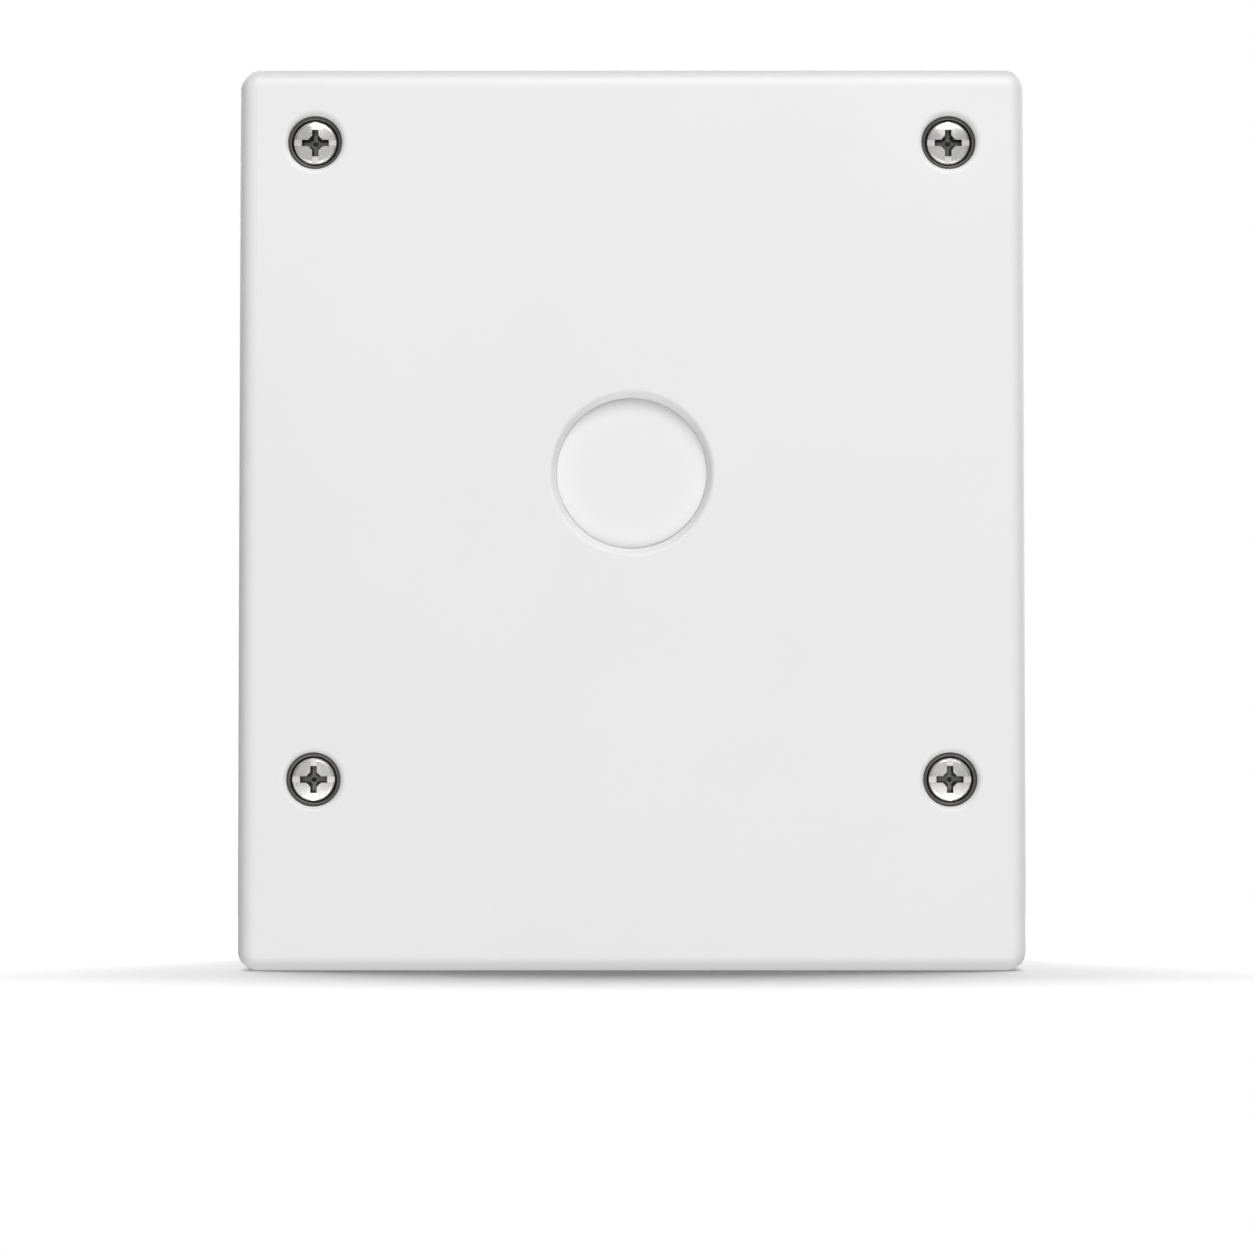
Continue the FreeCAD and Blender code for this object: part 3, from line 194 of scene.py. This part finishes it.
def plated(name, colour, roughness, places, step=0.16 * MM, depth=0.004 * MM, crown=None, recess=None):
    """Plated steel with fine turning rings, step apart, round each of the (x, z) axes.

    crown is (slope of the domed top at its edge, radius of that edge).  recess is (y of the top,
    radius) of a driver recess: its walls are darkened with painted shade, and the marks beside it and
    the rounded rim of the head are brightened with a painted highlight.
    """
    made = Material(name, colour, roughness, 1.0)
    split = made.add("ShaderNodeSeparateXYZ")
    made.join(made.place, split.inputs["Vector"])
    nearest = None
    for across, up in places:
        flat = made.add("ShaderNodeCombineXYZ")
        made.join(split.outputs["X"], flat.inputs["X"])
        made.join(split.outputs["Z"], flat.inputs["Z"])
        away = made.add("ShaderNodeVectorMath", operation="DISTANCE")
        made.join(flat.outputs["Vector"], away.inputs[0])
        away.inputs[1].default_value = (across, 0.0, up)
        if nearest is None:
            nearest = away.outputs["Value"]
            continue
        less = made.add("ShaderNodeMath", operation="MINIMUM")
        made.join(nearest, less.inputs[0])
        made.join(away.outputs["Value"], less.inputs[1])
        nearest = less.outputs["Value"]
    phase = made.add("ShaderNodeMath", operation="MULTIPLY")
    phase.inputs[1].default_value = FULL_TURN / step
    made.join(nearest, phase.inputs[0])
    rings = made.add("ShaderNodeMath", operation="SINE")
    made.join(phase.outputs["Value"], rings.inputs[0])
    grain = made.noise(0.25 * MM, 3.0)
    surface = made.sum_of(rings.outputs["Value"], grain, 1.2)
    if crown:
        slope, edge = crown
        surface = made.sum_of(surface, made.product(nearest, nearest), -0.5 * slope / edge / depth)
    made.relief(surface, depth)
    stain = made.noise(2.5 * MM, 4.0)
    made.tint(stain, 0.9, 1.06)
    made.sheen_of(stain, roughness - 0.06, roughness + 0.10)
    if recess:
        top, reach = recess
        highlight_start, highlight_end = top + 0.03 * MM, top + 0.08 * MM
        wall_end, wall_fade = top + 0.35 * MM, 0.15 * MM
        # how bright the painted highlight on the head and how dark the painted shade in the recess are
        painted_highlight_share, painted_recess_shade = 1.35, 0.22
        # painted highlight: the head behind its top face, the marks beside the recess and the rim, drawn
        # brighter
        made.blend_to(made.ramped(split.outputs["Y"], highlight_start, highlight_end), painted_highlight_share)
        # painted shade: the walls of the driver recess, within its radius, drawn dark
        deep = made.ramped(split.outputs["Y"], highlight_end, wall_end)
        within = made.ramped(nearest, reach, reach - wall_fade)
        made.blend_to(made.product(deep, within), painted_recess_shade)
    return made.data


def drawn_metal(name, colour, roughness, along=(1.0, 1.0, 1.0), depth=0.003 * MM):
    """Strip or wire with fine lines along its length."""
    made = Material(name, colour, roughness, 1.0)
    lines = made.noise(0.12 * MM, 3.0, place=made.stretched(*along))
    made.relief(lines, depth)
    cloud = made.noise(1.8 * MM, 3.0)
    made.tint(cloud, 0.88, 1.05)
    made.sheen_of(made.sum_of(cloud, lines, 0.5), roughness - 0.06, roughness + 0.12)
    return made.data


def rubber(name, colour):
    """Matt rubber with a pale bloom."""
    made = Material(name, colour, 0.72, Specular_IOR_Level=0.35)
    speck = made.noise(0.35 * MM, 4.0, 0.65)
    bloom = made.noise(6.0 * MM, 3.0)
    made.relief(speck, 0.02 * MM)
    made.tint(bloom, 0.8, 1.35)
    made.sheen_of(made.sum_of(bloom, speck, 0.3), 0.62, 0.84)
    return made.data


def solder_resist(name, colour):
    """Green resist over a faint glass weave."""
    made = Material(name, colour, 0.3, Coat_Weight=0.35, Coat_Roughness=0.12)
    thread = 0.5 * MM
    weave = []
    for axis in ("X", "Z"):
        node = made.add("ShaderNodeTexWave", wave_type="BANDS", bands_direction=axis)
        node.inputs["Scale"].default_value = 1.0 / thread / FULL_TURN
        node.inputs["Distortion"].default_value = 0.6
        made.join(made.place, node.inputs["Vector"])
        weave.append(node.outputs["Fac"])
    both = made.sum_of(weave[0], weave[1], 1.0)
    made.relief(both, 0.006 * MM)
    blotch = made.noise(7.0 * MM, 3.0)
    made.tint(made.sum_of(blotch, both, 0.12), 0.75, 1.3)
    made.sheen_of(blotch, 0.24, 0.40)
    return made.data


def banded(name, colour, bands):
    """Lacquered resistor body with painted rings; bands are (place along X in mm, colour)."""
    made = Material(name, colour, 0.35, Coat_Weight=0.4, Coat_Roughness=0.15)
    split = made.add("ShaderNodeSeparateXYZ")
    made.join(made.place, split.inputs["Vector"])
    reach = 3.4 * MM            # half the length of the body
    along = made.add("ShaderNodeMapRange")
    along.inputs["From Min"].default_value = -reach
    along.inputs["From Max"].default_value = reach
    made.join(split.outputs["X"], along.inputs["Value"])
    ramp = made.add("ShaderNodeValToRGB")
    ramp.color_ramp.interpolation = "CONSTANT"
    stops = ramp.color_ramp.elements
    stops[0].color = made.colour
    stops.remove(stops[1])
    half = 0.3 * MM             # half the width of a band
    for where, paint in bands:
        for edge, shade in ((where * MM - half, (*paint, 1.0)), (where * MM + half, made.colour)):
            stops.new((edge + reach) / (2.0 * reach)).color = shade
    made.join(along.outputs["Result"], ramp.inputs["Fac"])
    dirt = made.noise(0.9 * MM, 3.0)
    shade = made.add("ShaderNodeMix", data_type="RGBA", blend_type="MULTIPLY")
    shade.inputs["Factor"].default_value = 1.0
    grey = made.add("ShaderNodeCombineColor")
    for channel in ("Red", "Green", "Blue"):
        made.join(made.spread(dirt, 0.82, 1.0), grey.inputs[channel])
    made.join(ramp.outputs["Color"], shade.inputs[MIX_FIRST])
    made.join(grey.outputs["Color"], shade.inputs[MIX_SECOND])
    made.join(shade.outputs[MIX_RESULT], made.shader.inputs["Base Color"])
    made.sheen_of(dirt, 0.26, 0.46)
    made.relief(dirt, 0.02 * MM)
    return made.data


# ------------------------------------------------------------------ places worked out from the frame
def middle_of(node):
    """The centre of a node's box."""
    low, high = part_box(node)
    return (Vector(low) + Vector(high)) / 2.0


def corners_of(node, radius):
    """The four (x, z) axes of a group of round pieces, from the group's box."""
    low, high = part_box(node)
    return [(x, z) for x in (low[0] + radius, high[0] - radius)
            for z in (low[2] + radius, high[2] - radius)]


CASE_HEAD = 3.5 * MM            # radii of the screw heads
SMALL_HEAD = 2.8 * MM
POLES = 4
POLE_STEP = 5.08 * MM
button_centre = middle_of("push_button")
case_screws = corners_of("cover_screws", CASE_HEAD)
case_head_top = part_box("cover_screws")[0][1]
carrier_screws = corners_of("carrier_screws", SMALL_HEAD)
board_screws = corners_of("board_screws", SMALL_HEAD)
block = middle_of("terminal_cages")
poles = [(block.x + (index - (POLES - 1) / 2.0) * POLE_STEP, block.z) for index in range(POLES)]

FINISHES = {
    "front_cover": moulded("cover_white", (0.80, 0.80, 0.80), 0.46, glow=0.12),
    "back_box": moulded("box_white", (0.79, 0.79, 0.785), 0.48),
    "push_button": moulded("button_white", (0.825, 0.825, 0.825), 0.36, grain=0.9 * MM,
                           depth=0.003 * MM, glow=0.4),
    # the recess setting paints shade into the driver recess and a highlight on the marks and rim
    "cover_screws": plated("nickel_screws", (0.62, 0.615, 0.60), 0.22, case_screws,
                           crown=(0.12, 3.4 * MM), recess=(case_head_top, 2.3 * MM)),
    "screw_cups": plated("dark_cups", (0.115, 0.112, 0.108), 0.38, case_screws, depth=0.002 * MM),
    "carrier_screws": plated("zinc_screws", (0.60, 0.60, 0.585), 0.33, carrier_screws),
    "board_screws": plated("board_zinc", (0.60, 0.60, 0.585), 0.33, board_screws),
    "terminal_screws": plated("clamp_zinc", (0.58, 0.58, 0.56), 0.34, poles),
    "threaded_inserts": plated("insert_brass", (0.72, 0.52, 0.22), 0.30, case_screws),
    "terminal_cages": drawn_metal("cage_brass", (0.70, 0.53, 0.25), 0.32, (0.2, 1.0, 1.0)),
    "terminal_pins": drawn_metal("tinned_pins", (0.72, 0.72, 0.70), 0.30, (1.0, 0.2, 1.0)),
    "resistor_leads": drawn_metal("tinned_leads", (0.72, 0.72, 0.70), 0.28, (0.3, 1.0, 1.0)),
    "switch_pivot_pin": drawn_metal("pin_steel", (0.60, 0.60, 0.60), 0.25, (1.0, 1.0, 0.2)),
    "switch_lever": drawn_metal("lever_steel", (0.66, 0.66, 0.65), 0.27, (0.15, 1.0, 1.0)),
    "switch_blade": drawn_metal("blade_bronze", (0.66, 0.47, 0.27), 0.30, (0.15, 1.0, 1.0)),
    "common_terminal": drawn_metal("silvered_strip", (0.76, 0.74, 0.68), 0.28, (1.0, 0.2, 1.0)),
    "screw_retainers": moulded("nylon", (0.74, 0.71, 0.62), 0.40, grain=0.5 * MM),
    "spring_carrier": moulded("carrier_grey", (0.075, 0.080, 0.088), 0.50),
    "switch_base": moulded("switch_black", (0.018, 0.018, 0.020), 0.42, grain=0.25 * MM),
    "switch_lid": moulded("switch_lid_black", (0.024, 0.024, 0.026), 0.46, grain=0.25 * MM),
    "switch_plunger": moulded("plunger_red", (0.42, 0.02, 0.018), 0.34, grain=0.4 * MM),
    "terminal_block": moulded("terminal_grey", (0.16, 0.19, 0.20), 0.45, grain=0.3 * MM),
    "cover_gasket": rubber("seal_rubber", (0.018, 0.018, 0.018)),
    "cable_grommet": rubber("grommet_rubber", (0.022, 0.022, 0.022)),
    "circuit_board": solder_resist("solder_resist", (0.012, 0.12, 0.045)),
    "alarm_resistor": banded("alarm_bands", (0.62, 0.46, 0.27),
                             ((-2.3, (0.20, 0.07, 0.02)), (-1.1, (0.015, 0.015, 0.015)),
                              (0.1, (0.42, 0.03, 0.02)), (2.2, (0.52, 0.36, 0.08)))),
    "line_resistor": banded("line_bands", (0.62, 0.46, 0.27),
                            ((-2.3, (0.50, 0.42, 0.02)), (-1.1, (0.10, 0.02, 0.20)),
                             (0.1, (0.42, 0.03, 0.02)), (2.2, (0.52, 0.36, 0.08)))),
}
FINISHES["open_terminal"] = FINISHES["common_terminal"]
FINISHES["closed_terminal"] = FINISHES["common_terminal"]


def dress(thing, material):
    """Gives a thing that one material."""
    thing.data.materials.clear()
    thing.data.materials.append(material)


for node, material in FINISHES.items():
    dress(NODES[node], material)


# ------------------------------------------------------------------ pieces made here
def new_piece(name, mesh_work, material):
    """A smooth shaded piece whose mesh mesh_work fills."""
    mesh = bpy.data.meshes.new(name)
    work = bmesh.new()
    mesh_work(work)
    bmesh.ops.recalc_face_normals(work, faces=work.faces)
    work.to_mesh(mesh)
    work.free()
    for face in mesh.polygons:
        face.use_smooth = True
    piece = bpy.data.objects.new(name, mesh)
    bpy.context.scene.collection.objects.link(piece)
    dress(piece, material)
    return piece


def turned(sides):
    """The angles of a ring's points."""
    return [FULL_TURN * step / sides for step in range(sides)]


def skin(work, hoops):
    """Joins rings of equally many points, and closes both ends."""
    sides = len(hoops[0])
    for one, other in zip(hoops, hoops[1:]):
        for step in range(sides):
            following = (step + 1) % sides
            work.faces.new((one[step], one[following], other[following], other[step]))
    work.faces.new(reversed(hoops[0]))
    work.faces.new(hoops[-1])


def sweep(work, points, radius, sides=14, end_share=0.8):
    """A closed round rod through the points, drawn in a little at its two ends."""
    hoops = []
    normal = None
    last = len(points) - 1
    for index, point in enumerate(points):
        direction = (points[min(last, index + 1)] - points[max(0, index - 1)]).normalized()
        if normal is None:
            normal = direction.orthogonal().normalized()
        normal = (normal - direction * normal.dot(direction)).normalized()
        across = direction.cross(normal)
        size = radius * (end_share if index in (0, last) else 1.0)
        hoops.append([work.verts.new(point + size * (math.cos(angle) * normal + math.sin(angle) * across))
                      for angle in turned(sides)])
    skin(work, hoops)


def return_spring():
    """A compression spring with closed end coils, between the carrier and the button."""
    low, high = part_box("return_spring")
    wire = 0.45 * MM                # radius of the wire
    mean = 7.4 * MM                 # radius of the coils
    rear = high[1] - wire
    front = low[1] + wire
    active = 4.0                    # free turns, and closed turns at each end
    closed = 0.9
    turns = active + 2.0 * closed
    closed_pitch = -2.04 * wire     # closed turns lie just clear of each other
    open_rise = front - rear - 2.0 * closed_pitch * closed
    steps = 360
    points = []
    for step in range(steps + 1):
        turn = turns * step / steps
        if turn < closed:
            depth = rear + closed_pitch * turn
        elif turn > turns - closed:
            depth = front - closed_pitch * (turns - turn)
        else:
            depth = rear + closed_pitch * closed + open_rise * (turn - closed) / active
        angle = FULL_TURN * turn
        points.append(Vector((button_centre.x + mean * math.cos(angle), depth,
                              button_centre.z + mean * math.sin(angle))))
    piece = new_piece("return_spring_coils", lambda work: sweep(work, points, wire),
                      drawn_metal("spring_wire", (0.50, 0.50, 0.51), 0.26, (1.0, 1.0, 1.0)))
    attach(piece, "cover")
    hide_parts("return_spring")
    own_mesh(piece)


def solder_cone(work, x, y, z, outward, foot=0.95 * MM, tip=0.42 * MM, tall=0.75 * MM, sides=20):
    """A hollow-sided fillet of solder standing on the board."""
    levels = 6
    hollow = 2.2                    # power that bends the side inwards
    rings = []
    for level in range(levels + 1):
        share = level / levels
        radius = tip + (foot - tip) * (1.0 - share) ** hollow
        rings.append([work.verts.new((x + radius * math.cos(angle), y + outward * tall * share,
                                      z + radius * math.sin(angle)))
                      for angle in turned(sides)])
    skin(work, rings)


def solder_joints():
    """Fillets behind the board at switch pins and resistor leads, in front at the terminal pins."""
    board_low, board_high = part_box("circuit_board")
    rear = board_high[1]
    front = board_low[1]
    half_pin = 0.2 * MM
    lead_radius = 0.3 * MM
    pins = [(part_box("closed_terminal")[0][0] + half_pin, button_centre.z)]
    pins += [(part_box(node)[1][0] - half_pin, button_centre.z)
             for node in ("common_terminal", "open_terminal")]
    low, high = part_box("resistor_leads")
    for node in ("alarm_resistor", "line_resistor"):
        height = middle_of(node).z
        pins += [(high[0] - lead_radius, height), (low[0] + lead_radius, height)]

    def build(work):
        for x, z in pins:
            solder_cone(work, x, rear, z, 1.0)
        for x, z in poles:
            solder_cone(work, x, front, z, -1.0, foot=1.15 * MM, tip=0.6 * MM)

    piece = new_piece("solder_joints", build, drawn_metal("solder", (0.62, 0.62, 0.63), 0.24))
    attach(piece, "cover")


return_spring()
solder_joints()


# ------------------------------------------------------------------ floor, light and camera
# name, place, aimed at, width, height, watts
LAMPS = (
    ("front_above", (0.15, -0.70, 0.80), (0.0, 0.0, 0.0), 0.8, 0.5, 10.1),
    ("below", (0.0, -0.75, -0.62), (0.0, 0.0, -0.02), 0.9, 0.5, 4.9),
    ("behind_left", (-0.55, 0.75, 0.50), (0.0, 0.0, 0.0), 0.7, 0.7, 7.0),
    ("behind_right", (0.70, 0.70, 0.30), (0.0, 0.0, 0.0), 0.7, 0.7, 5.0),
)
FLOOR_LAMP = ("floor_wash", (0.0, 0.24, 0.62), (0.0, 0.05, -0.07), 2.0, 0.42, 31.0)
SCREW_CARDS = (
    ("card_above", (0.0, -1.2, 0.42), (0.0, 0.0, 0.42), 1.7, 0.92, 3.2),
    ("card_below", (0.0, -1.2, -0.50), (0.0, 0.0, -0.50), 1.7, 0.92, 1.8),
)
# how bright the room round the object is, and how soft the change at its horizon
ROOM_ABOVE = 0.0
ROOM_BELOW = 0.45
HORIZON = 0.03
# the camera stands in front, a little below the middle, and looks up a little
LENS = 120.8
EYE = (-0.0001, -0.700, -0.0412)
LOOK_UP = math.radians(2.137)
LOOK_LEFT = math.radians(0.056)


def stage():
    """A small pale floor, so bright at its edges that it runs into the white backdrop.  It sends no
    light on to the object."""
    lowest = cad_low[2]
    mesh = bpy.data.meshes.new("floor")
    left, right, near, far = -0.45, 0.45, -0.25, 0.22
    corners = [(left, near, lowest), (right, near, lowest), (right, far, lowest), (left, far, lowest)]
    mesh.from_pydata(corners, [], [(0, 1, 2, 3)])
    floor = bpy.data.objects.new("floor", mesh)
    bpy.context.scene.collection.objects.link(floor)
    paint = Material("floor_white", (0.55, 0.55, 0.55), 0.9, Specular_IOR_Level=0.1)
    paint.tint(paint.noise(0.4, 2.0), 0.995, 1.005)
    dress(floor, paint.data)
    floor.visible_diffuse = False
    return floor


def lamp(name, place, target, width, height, power):
    data = bpy.data.lights.new(name, "AREA")
    data.shape = "RECTANGLE"
    data.size = width
    data.size_y = height
    data.energy = power
    item = bpy.data.objects.new(name, data)
    item.location = place
    item.rotation_mode = "QUATERNION"
    item.rotation_quaternion = (Vector(target) - Vector(place)).to_track_quat("-Z", "Y")
    bpy.context.scene.collection.objects.link(item)
    return item


def room():
    """A white backdrop for the camera; everything else sees a room that is dark above the horizon and
    grey below."""
    world = bpy.data.worlds.new("studio")
    world.use_nodes = True
    bpy.context.scene.world = world
    tree = world.node_tree
    backdrop = tree.nodes["Background"]
    backdrop.inputs["Color"].default_value = (1.0, 1.0, 1.0, 1.0)
    backdrop.inputs["Strength"].default_value = 1.0
    place = tree.nodes.new("ShaderNodeTexCoord")
    split = tree.nodes.new("ShaderNodeSeparateXYZ")
    shade = tree.nodes.new("ShaderNodeMapRange")
    shade.interpolation_type = "SMOOTHSTEP"
    shade.inputs["From Min"].default_value = -HORIZON
    shade.inputs["From Max"].default_value = HORIZON
    shade.inputs["To Min"].default_value = ROOM_BELOW
    shade.inputs["To Max"].default_value = ROOM_ABOVE
    surround = tree.nodes.new("ShaderNodeBackground")
    ray = tree.nodes.new("ShaderNodeLightPath")
    mix = tree.nodes.new("ShaderNodeMixShader")
    for source, target in ((place.outputs["Generated"], split.inputs["Vector"]),
                           (split.outputs["Z"], shade.inputs["Value"]),
                           (shade.outputs["Result"], surround.inputs["Strength"]),
                           (ray.outputs["Is Camera Ray"], mix.inputs["Fac"]),
                           (surround.outputs["Background"], mix.inputs[1]),
                           (backdrop.outputs["Background"], mix.inputs[2]),
                           (mix.outputs["Shader"], tree.nodes["World Output"].inputs["Surface"])):
        tree.links.new(source, target)


def lighting(floor):
    """The lamps light the object, the wash lights the floor and the cards show in the screws."""
    room()
    floor_only = bpy.data.collections.new("floor_only")
    all_but_floor = bpy.data.collections.new("all_but_floor")
    screws_only = bpy.data.collections.new("screws_only")
    for group in (floor_only, all_but_floor):
        group.objects.link(floor)
    for node in ("cover_screws", "screw_cups"):
        screws_only.objects.link(NODES[node])
    all_but_floor.collection_objects[0].light_linking.link_state = "EXCLUDE"
    for settings in LAMPS:
        linking = lamp(*settings).light_linking
        linking.receiver_collection = all_but_floor
        linking.blocker_collection = all_but_floor
    lamp(*FLOOR_LAMP).light_linking.receiver_collection = floor_only
    for settings in SCREW_CARDS:
        linking = lamp(*settings).light_linking
        linking.receiver_collection = screws_only
        linking.blocker_collection = all_but_floor


def camera():
    data = bpy.data.cameras.new("camera")
    data.lens = LENS
    data.sensor_width = 36.0
    data.clip_start = 0.05
    data.clip_end = 20.0
    item = bpy.data.objects.new("camera", data)
    item.location = EYE
    item.rotation_euler = (math.radians(90.0) + LOOK_UP, 0.0, LOOK_LEFT)
    bpy.context.scene.collection.objects.link(item)
    bpy.context.scene.camera = item


lighting(stage())
camera()
bpy.context.scene.view_settings.view_transform = "Standard"
